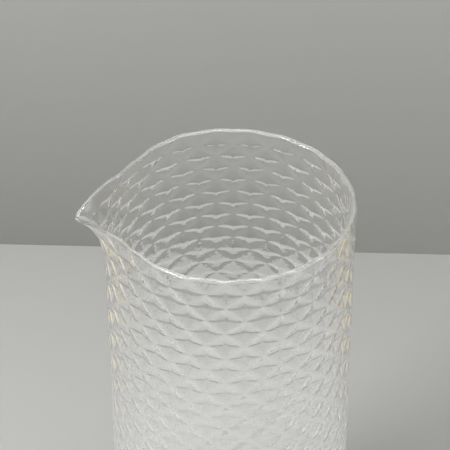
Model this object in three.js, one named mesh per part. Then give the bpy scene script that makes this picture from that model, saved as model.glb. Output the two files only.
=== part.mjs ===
// Glass carafe: a straight, mould-blown cylinder with a dented diamond pattern, a plain
// heavy base and a fire-polished rim that is pulled out into a pouring lip.
// Millimetres, +Z up. The origin is the middle of the underside and the lip points along -X.

import * as THREE from 'three';

// Overall sizes
const height = 200;
const diameter = 90;
const wallThickness = 1.8;
const baseThickness = 5;
const heelRadius = 4.5;
const footFillet = 2.5;
const footBand = 0.5;

// Diamond pattern: each diamond is a dent with four flat sides
const diamondsAround = 21;
const rowsOfNodes = 34;
const dentDepth = 1.3;
const dentThinning = 0.4;
const rimReliefShare = 0.5;
const rimFadeRows = 2.5;

// Pouring lip, pulled out of the rim between two shoulders that the pull draws inwards
const lipReach = 9.5;
const lipDroop = 5;
const lipHalfAngle = THREE.MathUtils.degToRad(31.5);
const lipTipAngle = THREE.MathUtils.degToRad(2.5);
const lipRootDepth = 27;
const seamBelowLip = 1.1;
const lipPlanPower = 1.8;
const lipProfilePower = 2.7;
const lipDroopPower = 4;
const shoulderPinch = 1.9;
const shoulderAngle = THREE.MathUtils.degToRad(36);
const shoulderEndAngle = THREE.MathUtils.degToRad(68);

// Fineness of the facets
const heelSteps = 5;
const filletSteps = 4;
const edgeSteps = 4;
const rimDivisions = 2;
const leastRowStep = 0.25;
const probe = 0.01;

// Sizes that follow from those above
const radius = diameter / 2;
const innerRadius = radius - wallThickness;
const innerDentDepth = dentDepth - dentThinning;
const columns = 2 * diamondsAround;
const columnAngle = (2 * Math.PI) / columns;
const patternTop = height - wallThickness / 2;
const patternFoot = baseThickness + footFillet + footBand;
const rowPitch = (patternTop - patternFoot) / rowsOfNodes;
const seamRow = (lipRootDepth + seamBelowLip) / rowPitch;

const { clamp, lerp, smoothstep, euclideanModulo } = THREE.MathUtils;

// Angle from the middle of the lip, from -180 to 180 degrees
function angleFromLip(column) {
  return (euclideanModulo(column + diamondsAround, columns) - diamondsAround) * columnAngle;
}

// Share of the lip's reach at a column: 1 at the tip, 0 from the shoulders on
function beak(column) {
  const angle = Math.hypot(angleFromLip(column), lipTipAngle) - lipTipAngle;
  return Math.max(0, 1 - angle / lipHalfAngle) ** lipPlanPower;
}

// Share of the shoulders' pinch at a column
function pinch(column) {
  return 1 - smoothstep(Math.abs(angleFromLip(column)), shoulderAngle, shoulderEndAngle);
}

// How much of the pull on the rim is left at a row, from 1 at the rim to 0 at the lip's root
function pullLeft(row) {
  return Math.max(0, 1 - (row * rowPitch) / lipRootDepth);
}

// Outer face without its dents: a prism with a side for each column, pulled out at the lip.
// Columns count round from the lip and rows count down from the rim, both from 0.
function formPoint(column, row) {
  const fromSideMiddle = (euclideanModulo(column, 1) - 0.5) * columnAngle;
  const prismRadius = (radius * Math.cos(columnAngle / 2)) / Math.cos(fromSideMiddle);
  const rimShift = (lipReach + shoulderPinch) * beak(column) - shoulderPinch * pinch(column);
  const pointRadius = prismRadius + rimShift * pullLeft(row) ** lipProfilePower;
  const droop = lipDroop * beak(column) ** 2 * pullLeft(row) ** lipDroopPower;
  const angle = Math.PI + column * columnAngle;
  return new THREE.Vector3(
    pointRadius * Math.cos(angle),
    pointRadius * Math.sin(angle),
    patternTop - row * rowPitch - droop,
  );
}

// Unit vector along the form, up towards the rim
function upTheForm(column, row) {
  return formPoint(column, row - probe).sub(formPoint(column, row + probe)).normalize();
}

// Unit vector square to the form, out of the glass
function outOfForm(column, row) {
  const around = formPoint(column + probe, row).sub(formPoint(column - probe, row));
  return around.cross(upTheForm(column, row)).normalize();
}

// Share of the full dent at a point: 0 on the ridges between diamonds, 1 at a diamond's middle.
// Ridges run through the nodes, where column and row add up to an even number.
function dentShare(column, row) {
  const toWhole = (value) => Math.abs(value - Math.round(value));
  const acrossRidges = Math.min(toWhole((column + row) / 2), toWhole((column - row) / 2));
  const atRim = lerp(rimReliefShare, 1, smoothstep(row, 0, rimFadeRows));
  const atFoot = clamp(rowsOfNodes - row, 0, 1);
  const atLip = 1 - beak(column) * pullLeft(row);
  return 2 * acrossRidges * atRim * atFoot * atLip;
}

// A ring of points at one row, sunk below the form by a depth given for each column
function ringAt(row, divisions, depthAt) {
  const points = Array.from({ length: columns * divisions }, (_, index) => {
    const column = index / divisions;
    return formPoint(column, row).addScaledVector(outOfForm(column, row), -depthAt(column, row));
  });
  return { row, points };
}

function outerRing(row, divisions) {
  return ringAt(row, divisions, (column, at) => dentDepth * dentShare(column, at));
}

function innerRing(row, divisions) {
  return ringAt(row, divisions, (column, at) => wallThickness + innerDentDepth * dentShare(column, at));
}

// A flat, round ring of plain wall below the pattern
function plainRing(ringRadius, z) {
  const points = Array.from({ length: columns }, (_, index) => {
    const angle = Math.PI + index * columnAngle;
    return new THREE.Vector3(ringRadius * Math.cos(angle), ringRadius * Math.sin(angle), z);
  });
  return { row: rowsOfNodes, points };
}

// Rows of the wall, from the pattern's foot up to the seam
function wallRows() {
  const rows = [];
  for (let row = rowsOfNodes; row > seamRow + leastRowStep; row -= 1) {
    rows.push(row);
  }
  return [...rows, seamRow];
}

// Rows of the rim, from the seam up to the edge
function rimRows() {
  const rows = [];
  for (let step = 0; step / rimDivisions < seamRow - leastRowStep; step += 1) {
    rows.push(step / rimDivisions);
  }
  return [seamRow, ...rows.toReversed()];
}

// Closed solid from a loop of rings: up the outside, over the top, down the inside and back.
// Each cell of the pattern is split along its ridge, so that the dents keep flat sides.
function solidOfRings(rings, divisions) {
  const count = columns * divisions;
  const positions = rings.flatMap((ring) => ring.points.flatMap((point) => point.toArray()));
  const indices = [];
  rings.forEach((ring, index) => {
    const following = (index + 1) % rings.length;
    const nextRow = rings[following].row;
    const cellRow = Math.floor((ring.row + nextRow) / 2);
    for (let step = 0; step < count; step += 1) {
      const a = index * count + step;
      const b = index * count + ((step + 1) % count);
      const c = following * count + step;
      const d = following * count + ((step + 1) % count);
      const ridgeFalls = (Math.floor(step / divisions) + cellRow) % 2 === 0;
      if (ridgeFalls === ring.row > nextRow) {
        indices.push(a, b, c, b, d, c);
      } else {
        indices.push(a, b, d, a, d, c);
      }
    }
  });
  const geometry = new THREE.BufferGeometry();
  geometry.setAttribute('position', new THREE.Float32BufferAttribute(positions, 3));
  geometry.setIndex(indices);
  geometry.computeVertexNormals();
  return geometry;
}

// Heavy base: a solid disc with a rounded heel
function baseGeometry() {
  const heel = Math.min(heelRadius, baseThickness);
  const profile = new THREE.Path();
  profile.moveTo(0, 0);
  profile.lineTo(radius - heel, 0);
  profile.absarc(radius - heel, heel, heel, -Math.PI / 2, 0, false);
  profile.lineTo(radius, baseThickness);
  profile.lineTo(0, baseThickness);
  const geometry = new THREE.LatheGeometry(profile.getPoints(heelSteps), columns, -Math.PI / 2);
  return geometry.rotateX(Math.PI / 2);
}

// Patterned wall from the base up to the root of the lip, with a fillet at its inside foot
function wallGeometry() {
  const rows = wallRows();
  const fillet = Array.from({ length: filletSteps }, (_, index) => {
    const angle = (Math.PI / 2) * ((index + 1) / filletSteps);
    const inset = footFillet * (1 - Math.cos(angle));
    const drop = footFillet * Math.sin(angle);
    return plainRing(innerRadius - inset, baseThickness + footFillet - drop);
  });
  return solidOfRings([
    plainRing(radius, baseThickness),
    ...rows.map((row) => outerRing(row, 1)),
    ...rows.toReversed().map((row) => innerRing(row, 1)),
    plainRing(innerRadius, baseThickness + footFillet),
    ...fillet,
  ], 1);
}

// Rim with its pouring lip, down to the seam with the wall. Its edge is a half round.
function rimGeometry() {
  const rows = rimRows();
  const outer = rows.map((row) => outerRing(row, rimDivisions));
  const inner = rows.toReversed().map((row) => innerRing(row, rimDivisions));
  const outerEdge = outer.at(-1).points;
  const innerEdge = inner[0].points;
  const edge = Array.from({ length: edgeSteps - 1 }, (_, index) => {
    const angle = (Math.PI * (index + 1)) / edgeSteps;
    const points = outerEdge.map((outerPoint, step) => {
      const middle = outerPoint.clone().add(innerEdge[step]).multiplyScalar(0.5);
      const half = outerPoint.clone().sub(middle);
      const up = upTheForm(step / rimDivisions, 0).multiplyScalar(half.length());
      return middle.addScaledVector(half, Math.cos(angle)).addScaledVector(up, Math.sin(angle));
    });
    return { row: 0, points };
  });
  return solidOfRings([...outer, ...edge, ...inner], rimDivisions);
}

function glass(color) {
  return new THREE.MeshStandardMaterial({
    color,
    roughness: 0.04,
    metalness: 0,
    transparent: true,
    opacity: 0.35,
  });
}

function piece(name, geometry, color) {
  const mesh = new THREE.Mesh(geometry, glass(color));
  mesh.name = name;
  return mesh;
}

const carafe = new THREE.Group();
carafe.add(piece('base', baseGeometry(), 0xdfe3e0));
carafe.add(piece('patterned_wall', wallGeometry(), 0xe6e8e5));
carafe.add(piece('pouring_rim', rimGeometry(), 0xeceeeb));

export default carafe;
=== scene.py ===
import math

import bpy
import numpy as np
from mathutils import Matrix, Vector


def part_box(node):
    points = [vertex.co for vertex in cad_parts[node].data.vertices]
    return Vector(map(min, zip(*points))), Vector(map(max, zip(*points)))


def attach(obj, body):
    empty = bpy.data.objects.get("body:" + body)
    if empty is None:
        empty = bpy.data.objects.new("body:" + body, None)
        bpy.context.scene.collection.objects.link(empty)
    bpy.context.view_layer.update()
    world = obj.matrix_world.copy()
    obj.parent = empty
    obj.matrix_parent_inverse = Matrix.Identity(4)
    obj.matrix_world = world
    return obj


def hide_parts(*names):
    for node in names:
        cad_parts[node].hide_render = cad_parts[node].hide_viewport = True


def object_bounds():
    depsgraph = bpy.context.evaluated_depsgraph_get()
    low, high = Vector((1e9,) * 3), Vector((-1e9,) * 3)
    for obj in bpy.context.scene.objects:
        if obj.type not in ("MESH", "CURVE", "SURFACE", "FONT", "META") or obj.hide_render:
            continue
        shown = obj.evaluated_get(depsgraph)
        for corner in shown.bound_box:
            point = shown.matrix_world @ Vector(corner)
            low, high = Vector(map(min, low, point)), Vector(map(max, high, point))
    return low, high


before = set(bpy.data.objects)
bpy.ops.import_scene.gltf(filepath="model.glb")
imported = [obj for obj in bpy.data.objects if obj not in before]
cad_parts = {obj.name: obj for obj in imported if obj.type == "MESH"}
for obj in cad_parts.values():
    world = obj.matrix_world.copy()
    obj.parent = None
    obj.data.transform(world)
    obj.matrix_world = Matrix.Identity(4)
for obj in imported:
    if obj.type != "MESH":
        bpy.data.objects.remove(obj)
cad_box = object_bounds()

MM = 0.001
WHITE = (1, 1, 1)

# Sizes that the frame gives
HEIGHT = cad_box[1].z
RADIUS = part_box("patterned_wall")[1].x
BASE_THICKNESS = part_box("base")[1].z

# Glass wall, which thickens towards the rim's edge, but less where the lip is pulled
WALL = 1.1 * MM
RIM_BEAD = 2.0 * MM
LIP_BEAD = 1.2 * MM
RIM_BEAD_ROWS = 5.0

# Foot and number of diamonds, as in the CAD model
HEEL_RADIUS = 4.5 * MM
FOOT_FILLET = 2.5 * MM
FOOT_BAND = 0.5 * MM
DIAMONDS_AROUND = 21
ROWS_OF_NODES = 34

# Each diamond is a dent with four sides, as deep as this if nothing were rounded off. The hot
# glass rounds it along its level crease, along its upright crease and over the ridges round it,
# more on the outside than on the inside, and blunts its middle.
DENT_DEPTH = 1.55 * MM
OUTER_ROUNDING = (0.65 * MM, 1.5 * MM, 1.65 * MM)
INNER_ROUNDING = (0.18 * MM, 0.55 * MM, 1.1 * MM)
BLUNT_FROM = 0.7
BLUNTNESS = 0.07

# The dents fade over these rows, to a share of their depth at the rim and to nothing at the foot
RIM_RELIEF_SHARE = 0.4
RIM_FADE_ROWS = 2.0
FOOT_FADE_ROWS = 1.5

# Pouring lip, as in the CAD model
LIP_REACH = 9.5 * MM
LIP_DROOP = 5.0 * MM
LIP_HALF_ANGLE = math.radians(31.5)
LIP_TIP_ANGLE = math.radians(2.5)
LIP_ROOT_DEPTH = 27.0 * MM
LIP_PLAN_POWER = 1.8
LIP_PROFILE_POWER = 2.7
LIP_DROOP_POWER = 4
SHOULDER_PINCH = 1.9 * MM
SHOULDER_ANGLE = math.radians(36)
SHOULDER_END_ANGLE = math.radians(68)

# Fineness of the mesh: where points lie between two neighbouring columns or rows of nodes, steps
# of the round parts, and the share of a column or row over which a slope is taken
COLUMN_STEPS = np.array([0.0, 0.06, 0.14, 0.26, 0.42, 0.58, 0.74, 0.86, 0.94])
ROW_STEPS = np.array([0.0, 0.03, 0.08, 0.14, 0.21, 0.35, 0.5, 0.65, 0.79, 0.86, 0.92, 0.97])
EDGE_STEPS = 14
HEEL_STEPS = 8
FILLET_STEPS = 6
FLOOR_RINGS = 12
SLOPE_STEP = 0.01

# Sizes that follow from those above
COLUMNS = 2 * DIAMONDS_AROUND
COLUMN_ANGLE = 2 * math.pi / COLUMNS
COLUMN_WIDTH = RADIUS * COLUMN_ANGLE
PATTERN_TOP = HEIGHT - RIM_BEAD / 2
PATTERN_FOOT = BASE_THICKNESS + FOOT_FILLET + FOOT_BAND
ROW_PITCH = (PATTERN_TOP - PATTERN_FOOT) / ROWS_OF_NODES

# Clear glass, with the most roughness that its haze gives and the fine waves in its faces
GLASS_COLOUR = (1.0, 1.0, 0.995)
GLASS_IOR = 1.5
HAZE = 0.015
HAZE_SCALE = 60
HAZE_DETAIL = 3
WAVINESS = 0.15
WAVE_HEIGHT = 0.5 * MM
WAVE_SCALE = 600
WAVE_DETAIL = 2

# Light is followed through this many faces, so that thick edges of the glass aren't black
GLASS_BOUNCES = 48

# Camera, from the photograph: turned round the axis from -Y, raised, and aimed just below the rim
CAMERA_AZIMUTH = math.radians(-2.2)
CAMERA_ELEVATION = math.radians(38.17)
CAMERA_ROLL = math.radians(-0.28)
CAMERA_DISTANCE = 721 * MM
CAMERA_SENSOR = 36
CAMERA_LENS = 162
AIM_RIGHT = -1.55 * MM
AIM_BELOW_RIM = 9.74 * MM

# Backdrop behind the carafe, as seen from the camera. It has painted shade: darker at its foot and at the
# left.
BACKDROP_DISTANCE = 220.7 * MM
BACKDROP_TURN = math.radians(-2.6)
BACKDROP_WIDTH = 0.8
BACKDROP_HEIGHT = 0.35
BACKDROP_FOOT_COLOUR = (0.305, 0.305, 0.29)
BACKDROP_HIGH_COLOUR = (0.385, 0.385, 0.37)
BACKDROP_RISE = (0, 150 * MM)
BACKDROP_SPAN = (-120 * MM, 120 * MM)
BACKDROP_PAINTED_SIDE_SHADES = (0.93, 1.05)

# The table is grey behind the carafe. Further out it is painted whiter, which is painted light: it stands
# in for brighter light on the table there.
TABLE_HALF_WIDTH = 4.0
TABLE_MIDDLE = (0, 0.16, 0)
TABLE_PAINTED_LIGHT_REACH = (0.13, 0.6)
TABLE_GREY = (0.465, 0.465, 0.452)
TABLE_WHITE_PAINTED_LIGHT = (0.64, 0.64, 0.63)

# Paper of the table and the backdrop
PAPER_ROUGHNESS = 0.9
PAPER_SHINE = 0.1

# Painted light and painted reflection: a glow of the table that only glass and reflections show, white in
# front and warm on each side
GLOW_MIDDLE = (0.04, -0.17, 0)
GLOW_REACH = (0.12, 0.38)
GLOW_STRENGTH = 0.28
SIDE_GLOW_MIDDLE = (0.27, 0.125, 0)
SIDE_GLOW_REACH = (0.045, 0.1)
SIDE_GLOW_STRENGTH = 0.4
SIDE_GLOW_COLOUR = (1.0, 0.68, 0.05)

# World: the light that it gives, and the white that the camera, glass and reflections show of it
AMBIENT = 0.53
SURROUNDINGS = 1.0

# Lamps: name, place, aim, size and power. The key's shadow falls to the right and back.
LAMPS = (
    ("overhead", (0, -0.1, 1.2), (0, 0, 0), 0.5, 3.0),
    ("fill", (0.7, -0.2, 0.5), (0.1, 0.2, 0.05), 0.4, 0.7),
    ("key", (-0.44, -0.24, 0.5), (0, 0, 0.05), 0.2, 3.0),
)


# Shape of the glass
def smooth_step(value, low, high):
    share = np.clip((value - low) / (high - low), 0, 1)
    return share * share * (3 - 2 * share)


def angle_from_lip(column):
    return (np.mod(column + DIAMONDS_AROUND, COLUMNS) - DIAMONDS_AROUND) * COLUMN_ANGLE


def beak(column):
    """Share of the lip's reach: 1 at the tip, 0 from the shoulders on."""
    angle = np.hypot(angle_from_lip(column), LIP_TIP_ANGLE) - LIP_TIP_ANGLE
    return np.maximum(0, 1 - angle / LIP_HALF_ANGLE) ** LIP_PLAN_POWER


def pinch(column):
    """Share of the inward pinch of the lip's shoulders."""
    return 1 - smooth_step(np.abs(angle_from_lip(column)), SHOULDER_ANGLE, SHOULDER_END_ANGLE)


def pull_left(row):
    """Share of the pull on the rim that is left at a row."""
    return np.clip(1 - row * ROW_PITCH / LIP_ROOT_DEPTH, 0, 1)


def form(column, row):
    """Outer face without its dents. Columns count round from the lip, rows down from the rim."""
    rim_shift = (LIP_REACH + SHOULDER_PINCH) * beak(column) - SHOULDER_PINCH * pinch(column)
    radius = RADIUS + rim_shift * pull_left(row) ** LIP_PROFILE_POWER
    droop = LIP_DROOP * beak(column) ** 2 * pull_left(row) ** LIP_DROOP_POWER
    angle = math.pi + column * COLUMN_ANGLE
    height = PATTERN_TOP - row * ROW_PITCH - droop
    return np.stack([radius * np.cos(angle), radius * np.sin(angle), height], axis=-1)


def unit(vectors):
    return vectors / np.linalg.norm(vectors, axis=-1, keepdims=True)


def up_the_form(column, row):
    return unit(form(column, row - SLOPE_STEP) - form(column, row + SLOPE_STEP))


def out_of_form(column, row):
    around = form(column + SLOPE_STEP, row) - form(column - SLOPE_STEP, row)
    return unit(np.cross(around, up_the_form(column, row)))


def sunk(column, row, depth):
    return form(column, row) - out_of_form(column, row) * depth[..., None]


def eased(distance, easing):
    """Distance from a fold whose turn is rounded off within the easing."""
    return np.where(distance < easing, distance ** 2 / (2 * easing), distance - easing / 2)


def eased_wave(position, easing):
    """Straight up from even to odd whole positions and straight down again, with eased turns."""
    share = 1 - np.abs(np.mod(position, 2) - 1)
    rising = eased(share, easing) + easing / 2
    falling = 1 - eased(1 - share, easing) - easing / 2
    return np.where(share < 0.5, rising, falling)


def blunted(share):
    """The same share, but levelled off where it would pass BLUNT_FROM."""
    return (share - np.hypot(share - BLUNT_FROM, BLUNTNESS) + math.hypot(BLUNT_FROM, BLUNTNESS)) / 2


def dent_share(column, row, rounding):
    """Share of the full dent: 0 on the ridges, which cross where column and row add up to an
    even number. It fades at the rim, the foot and the lip."""
    level, upright, ridge = rounding
    from_ridge = eased_wave(column, upright / COLUMN_WIDTH) - eased_wave(row, level / ROW_PITCH)
    share = eased(np.abs(from_ridge), ridge * math.hypot(1 / ROW_PITCH, 1 / COLUMN_WIDTH))
    at_rim = RIM_RELIEF_SHARE + (1 - RIM_RELIEF_SHARE) * smooth_step(row, 0, RIM_FADE_ROWS)
    at_foot = smooth_step(ROWS_OF_NODES - row, 0, FOOT_FADE_ROWS)
    at_lip = 1 - (beak(column) * pull_left(row)) ** 2
    return blunted(share) * at_rim * at_foot * at_lip


def ring(column, radius, height):
    """A level ring of plain glass, one point for each column."""
    angle = math.pi + column * COLUMN_ANGLE
    return np.stack([radius * np.cos(angle), radius * np.sin(angle), np.full_like(angle, height)], axis=-1)


def underside_rings(columns):
    """Flat underside from its middle outwards, then up round the heel."""
    flat = RADIUS - HEEL_RADIUS
    underside = [ring(columns, flat * share, 0) for share in np.linspace(0, 1, FLOOR_RINGS + 1)[1:-1]]
    heel = [
        ring(columns, flat + HEEL_RADIUS * math.sin(turn), HEEL_RADIUS * (1 - math.cos(turn)))
        for turn in np.linspace(0, math.pi / 2, HEEL_STEPS + 1)
    ]
    return [*underside, *heel]


def wall_rings(columns):
    """Outer and inner face of the wall, each from the rim down."""
    rows = np.append((np.arange(ROWS_OF_NODES)[:, None] + ROW_STEPS).ravel(), ROWS_OF_NODES)
    row_grid, column_grid = np.meshgrid(rows, columns, indexing="ij")
    bead = RIM_BEAD + (LIP_BEAD - RIM_BEAD) * pinch(column_grid)
    wall = bead + (WALL - bead) * smooth_step(row_grid, 0, RIM_BEAD_ROWS)
    outer_depth = DENT_DEPTH * dent_share(column_grid, row_grid, OUTER_ROUNDING)
    inner_depth = wall + DENT_DEPTH * dent_share(column_grid, row_grid, INNER_ROUNDING)
    return sunk(column_grid, row_grid, outer_depth), sunk(column_grid, row_grid, inner_depth)


def edge_rings(columns, outer_top, inner_top):
    """Half-round edge of the rim, from the top of the outer face to that of the inner one."""
    middle = (outer_top + inner_top) / 2
    half = outer_top - middle
    up = up_the_form(columns, np.zeros_like(columns)) * np.linalg.norm(half, axis=-1, keepdims=True)
    turns = np.linspace(0, math.pi, EDGE_STEPS + 1)[1:-1]
    return [middle + half * math.cos(turn) + up * math.sin(turn) for turn in turns]


def floor_rings(columns):
    """Fillet at the inside foot, then the floor in to its middle."""
    inside = RADIUS - WALL
    fillet = [
        ring(
            columns,
            inside - FOOT_FILLET * (1 - math.cos(turn)),
            BASE_THICKNESS + FOOT_FILLET * (1 - math.sin(turn)),
        )
        for turn in np.linspace(0, math.pi / 2, FILLET_STEPS + 1)
    ]
    floor_radius = inside - FOOT_FILLET
    floor = [
        ring(columns, floor_radius * share, BASE_THICKNESS)
        for share in np.linspace(1, 0, FLOOR_RINGS + 1)[1:-1]
    ]
    return [*fillet, *floor]


def glass_rings():
    """Rings of points from the middle of the underside, up the outside, over the rim's edge,
    down the inside and in to the middle of the floor."""
    columns = (np.arange(COLUMNS)[:, None] + COLUMN_STEPS).ravel()
    outer, inner = wall_rings(columns)
    edge = edge_rings(columns, outer[0], inner[0])
    return [*underside_rings(columns), *outer[::-1], *edge, *inner, *floor_rings(columns)]


def glass_mesh():
    """The whole carafe as one closed skin."""
    rings = glass_rings()
    count = len(rings[0])
    low_pole = len(rings) * count
    high_pole = low_pole + 1
    points = [*np.concatenate(rings), (0, 0, 0), (0, 0, BASE_THICKNESS)]
    around = np.arange(count)
    following = np.roll(around, -1)
    neighbours = list(zip(around.tolist(), following.tolist()))
    faces = [(low_pole, after, before) for before, after in neighbours]
    for index in range(len(rings) - 1):
        low, high = index * count, (index + 1) * count
        faces += np.stack([low + around, low + following, high + following, high + around], axis=1).tolist()
    last = (len(rings) - 1) * count
    faces += [(last + before, last + after, high_pole) for before, after in neighbours]
    mesh = bpy.data.meshes.new("carafe_glass")
    mesh.from_pydata([tuple(point) for point in points], [], faces)
    mesh.polygons.foreach_set("use_smooth", [True] * len(mesh.polygons))
    mesh.update()
    return mesh


# Shader nodes
def new_material(name):
    material = bpy.data.materials.new(name)
    material.use_nodes = True
    return material


def object_place(tree):
    return tree.nodes.new("ShaderNodeTexCoord").outputs["Object"]


def coordinates(tree, place):
    node = tree.nodes.new("ShaderNodeSeparateXYZ")
    tree.links.new(place, node.inputs["Vector"])
    return node.outputs


def noise(tree, place, scale, detail):
    node = tree.nodes.new("ShaderNodeTexNoise")
    node.inputs["Scale"].default_value = scale
    node.inputs["Detail"].default_value = detail
    tree.links.new(place, node.inputs["Vector"])
    return node.outputs["Fac"]


def maths(tree, operation, *values):
    node = tree.nodes.new("ShaderNodeMath")
    node.operation = operation
    for value, socket in zip(values, node.inputs):
        tree.links.new(value, socket)
    return node.outputs["Value"]


def ramp(tree, value, reach, ends=(0, 1), interpolation="LINEAR"):
    """Runs from one end to the other while a value runs over a reach."""
    node = tree.nodes.new("ShaderNodeMapRange")
    node.interpolation_type = interpolation
    node.inputs["From Min"].default_value, node.inputs["From Max"].default_value = reach
    node.inputs["To Min"].default_value, node.inputs["To Max"].default_value = ends
    tree.links.new(value, node.inputs["Value"])
    return node.outputs["Result"]


def patch(tree, place, middle, reach, ends=(0, 1)):
    """One end round a middle and the other further out, with a soft change over the reach."""
    away = tree.nodes.new("ShaderNodeVectorMath")
    away.operation = "DISTANCE"
    away.inputs[1].default_value = middle
    tree.links.new(place, away.inputs[0])
    return ramp(tree, away.outputs["Value"], reach, ends, "SMOOTHSTEP")


def blend(tree, share, first, last):
    """A colour between two others."""
    node = tree.nodes.new("ShaderNodeValToRGB")
    node.color_ramp.elements[0].color = (*first, 1)
    node.color_ramp.elements[1].color = (*last, 1)
    tree.links.new(share, node.inputs["Fac"])
    return node.outputs["Color"]


def in_glass(tree):
    """1 for what is seen through glass or as a reflection, else 0."""
    path = tree.nodes.new("ShaderNodeLightPath")
    return maths(tree, "MAXIMUM", path.outputs["Is Glossy Ray"], path.outputs["Is Transmission Ray"])


# Materials
def glass_material():
    """Clear glass: fine waves in its faces and a trace of haze that comes and goes."""
    material = new_material("clear_glass")
    tree = material.node_tree
    shader = tree.nodes["Principled BSDF"]
    shader.inputs["Base Color"].default_value = (*GLASS_COLOUR, 1)
    shader.inputs["Transmission Weight"].default_value = 1.0
    shader.inputs["IOR"].default_value = GLASS_IOR
    place = object_place(tree)
    haze = ramp(tree, noise(tree, place, HAZE_SCALE, HAZE_DETAIL), (0, 1), (0, HAZE))
    tree.links.new(haze, shader.inputs["Roughness"])
    bump = tree.nodes.new("ShaderNodeBump")
    bump.inputs["Strength"].default_value = WAVINESS
    bump.inputs["Distance"].default_value = WAVE_HEIGHT
    tree.links.new(noise(tree, place, WAVE_SCALE, WAVE_DETAIL), bump.inputs["Height"])
    tree.links.new(bump.outputs["Normal"], shader.inputs["Normal"])
    return material


def paper_material(name):
    material = new_material(name)
    shader = material.node_tree.nodes["Principled BSDF"]
    shader.inputs["Roughness"].default_value = PAPER_ROUGHNESS
    shader.inputs["Specular IOR Level"].default_value = PAPER_SHINE
    return material


def clear_from_behind(tree, shader):
    side = tree.nodes.new("ShaderNodeNewGeometry")
    clear = tree.nodes.new("ShaderNodeBsdfTransparent")
    mix = tree.nodes.new("ShaderNodeMixShader")
    tree.links.new(side.outputs["Backfacing"], mix.inputs["Fac"])
    tree.links.new(shader.outputs["BSDF"], mix.inputs[1])
    tree.links.new(clear.outputs["BSDF"], mix.inputs[2])
    tree.links.new(mix.outputs["Shader"], tree.nodes["Material Output"].inputs["Surface"])


def backdrop_material():
    """Grey paper with painted shade, darker at its foot and at the left. It is clear from behind, so that
    it hides nothing.
    """
    material = paper_material("backdrop_paint")
    tree = material.node_tree
    shader = tree.nodes["Principled BSDF"]
    place = coordinates(tree, object_place(tree))
    # Painted shade: the paper turns darker towards its foot and towards the left
    rise = ramp(tree, place["Z"], BACKDROP_RISE)
    across = ramp(tree, place["X"], BACKDROP_SPAN, BACKDROP_PAINTED_SIDE_SHADES)
    shaded = tree.nodes.new("ShaderNodeVectorMath")
    shaded.operation = "SCALE"
    tree.links.new(blend(tree, rise, BACKDROP_FOOT_COLOUR, BACKDROP_HIGH_COLOUR), shaded.inputs[0])
    tree.links.new(across, shaded.inputs["Scale"])
    tree.links.new(shaded.outputs["Vector"], shader.inputs["Base Color"])
    clear_from_behind(tree, shader)
    return material


def mirrored_place(tree, place):
    """The same place, with the left half of the table laid over the right one."""
    parts = coordinates(tree, place)
    node = tree.nodes.new("ShaderNodeCombineXYZ")
    tree.links.new(maths(tree, "ABSOLUTE", parts["X"]), node.inputs["X"])
    tree.links.new(parts["Y"], node.inputs["Y"])
    return node.outputs["Vector"]


def floor_material():
    """Paper, grey behind the carafe and painted whiter further out as painted light, with a painted glow
    that only glass and reflections show.
    """
    material = paper_material("floor_paint")
    tree = material.node_tree
    shader = tree.nodes["Principled BSDF"]
    place = object_place(tree)
    # Painted light: the table turns whiter away from the grey part behind the carafe
    further = patch(tree, place, TABLE_MIDDLE, TABLE_PAINTED_LIGHT_REACH)
    tree.links.new(blend(tree, further, TABLE_GREY, TABLE_WHITE_PAINTED_LIGHT), shader.inputs["Base Color"])
    side_place = mirrored_place(tree, place)
    # Painted light and painted reflection: the table glows white in front and warm at the sides, for glass
    # rays only
    front = patch(tree, place, GLOW_MIDDLE, GLOW_REACH, (GLOW_STRENGTH, 0))
    sides = patch(tree, side_place, SIDE_GLOW_MIDDLE, SIDE_GLOW_REACH, (SIDE_GLOW_STRENGTH, 0))
    glow = maths(tree, "MULTIPLY", in_glass(tree), maths(tree, "MAXIMUM", front, sides))
    tree.links.new(glow, shader.inputs["Emission Strength"])
    off_sides = patch(tree, side_place, SIDE_GLOW_MIDDLE, SIDE_GLOW_REACH)
    tree.links.new(blend(tree, off_sides, SIDE_GLOW_COLOUR, WHITE), shader.inputs["Emission Color"])
    return material


# Camera, stage, light and carafe
def camera_axes():
    sine, cosine = math.sin(CAMERA_AZIMUTH), math.cos(CAMERA_AZIMUTH)
    back = Vector((
        sine * math.cos(CAMERA_ELEVATION),
        -cosine * math.cos(CAMERA_ELEVATION),
        math.sin(CAMERA_ELEVATION),
    ))
    right = Vector((cosine, sine, 0))
    return right, back.cross(right), back


def make_camera():
    right, up, back = camera_axes()
    aim = Vector((0, 0, PATTERN_TOP - AIM_BELOW_RIM)) + right * AIM_RIGHT
    rolled_right = right * math.cos(CAMERA_ROLL) + up * math.sin(CAMERA_ROLL)
    rolled_up = up * math.cos(CAMERA_ROLL) - right * math.sin(CAMERA_ROLL)
    data = bpy.data.cameras.new("camera")
    data.sensor_width = CAMERA_SENSOR
    data.lens = CAMERA_LENS
    camera = bpy.data.objects.new("camera", data)
    bpy.context.scene.collection.objects.link(camera)
    turn = Matrix((rolled_right, rolled_up, back)).transposed().to_4x4()
    camera.matrix_world = Matrix.Translation(aim + back * CAMERA_DISTANCE) @ turn
    bpy.context.scene.camera = camera


def stage_plane(name, corners, material):
    mesh = bpy.data.meshes.new(name)
    mesh.from_pydata([tuple(corner) for corner in corners], [], [tuple(range(len(corners)))])
    mesh.materials.append(material)
    plane = bpy.data.objects.new(name, mesh)
    bpy.context.scene.collection.objects.link(plane)


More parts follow.
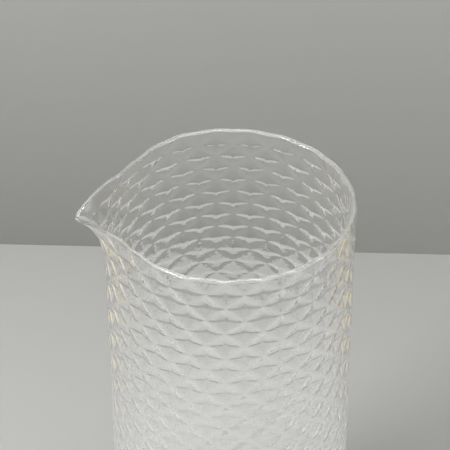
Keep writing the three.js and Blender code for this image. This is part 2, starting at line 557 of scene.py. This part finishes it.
def make_stage():
    reach = TABLE_HALF_WIDTH
    table = [(-reach, -reach, 0), (reach, -reach, 0), (reach, reach, 0), (-reach, reach, 0)]
    stage_plane("floor", table, floor_material())
    right = Matrix.Rotation(BACKDROP_TURN + CAMERA_AZIMUTH, 3, "Z") @ Vector((1, 0, 0))
    foot = Vector((0, 0, 1)).cross(right) * BACKDROP_DISTANCE
    top = Vector((0, 0, BACKDROP_HEIGHT))
    side = right * BACKDROP_WIDTH / 2
    sheet = [foot - side, foot + side, foot + side + top, foot - side + top]
    stage_plane("backdrop", sheet, backdrop_material())


def make_world():
    """White for the camera, glass and reflections, and less light than that for all else."""
    world = bpy.data.worlds.new("studio")
    world.use_nodes = True
    tree = world.node_tree
    background = tree.nodes["Background"]
    background.inputs["Color"].default_value = (*WHITE, 1)
    path = tree.nodes.new("ShaderNodeLightPath")
    shown = maths(tree, "MAXIMUM", in_glass(tree), path.outputs["Is Camera Ray"])
    level = ramp(tree, shown, (0, 1), (AMBIENT, SURROUNDINGS))
    tree.links.new(level, background.inputs["Strength"])
    bpy.context.scene.world = world


def make_lamps():
    for name, place, aim, size, power in LAMPS:
        data = bpy.data.lights.new(name, "AREA")
        data.size = size
        data.energy = power
        lamp = bpy.data.objects.new(name, data)
        lamp.location = place
        lamp.rotation_euler = (Vector(aim) - Vector(place)).to_track_quat("-Z", "Y").to_euler()
        lamp.visible_camera = False
        bpy.context.scene.collection.objects.link(lamp)


def make_carafe():
    mesh = glass_mesh()
    mesh.materials.append(glass_material())
    piece = bpy.data.objects.new("carafe_glass", mesh)
    bpy.context.scene.collection.objects.link(piece)
    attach(piece, "root")
    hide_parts("base", "patterned_wall", "pouring_rim")


make_camera()
make_stage()
make_world()
make_lamps()
make_carafe()
bpy.context.scene.view_settings.view_transform = "Standard"
bpy.context.scene.cycles.max_bounces = GLASS_BOUNCES
bpy.context.scene.cycles.transmission_bounces = GLASS_BOUNCES
bpy.context.scene.cycles.glossy_bounces = GLASS_BOUNCES
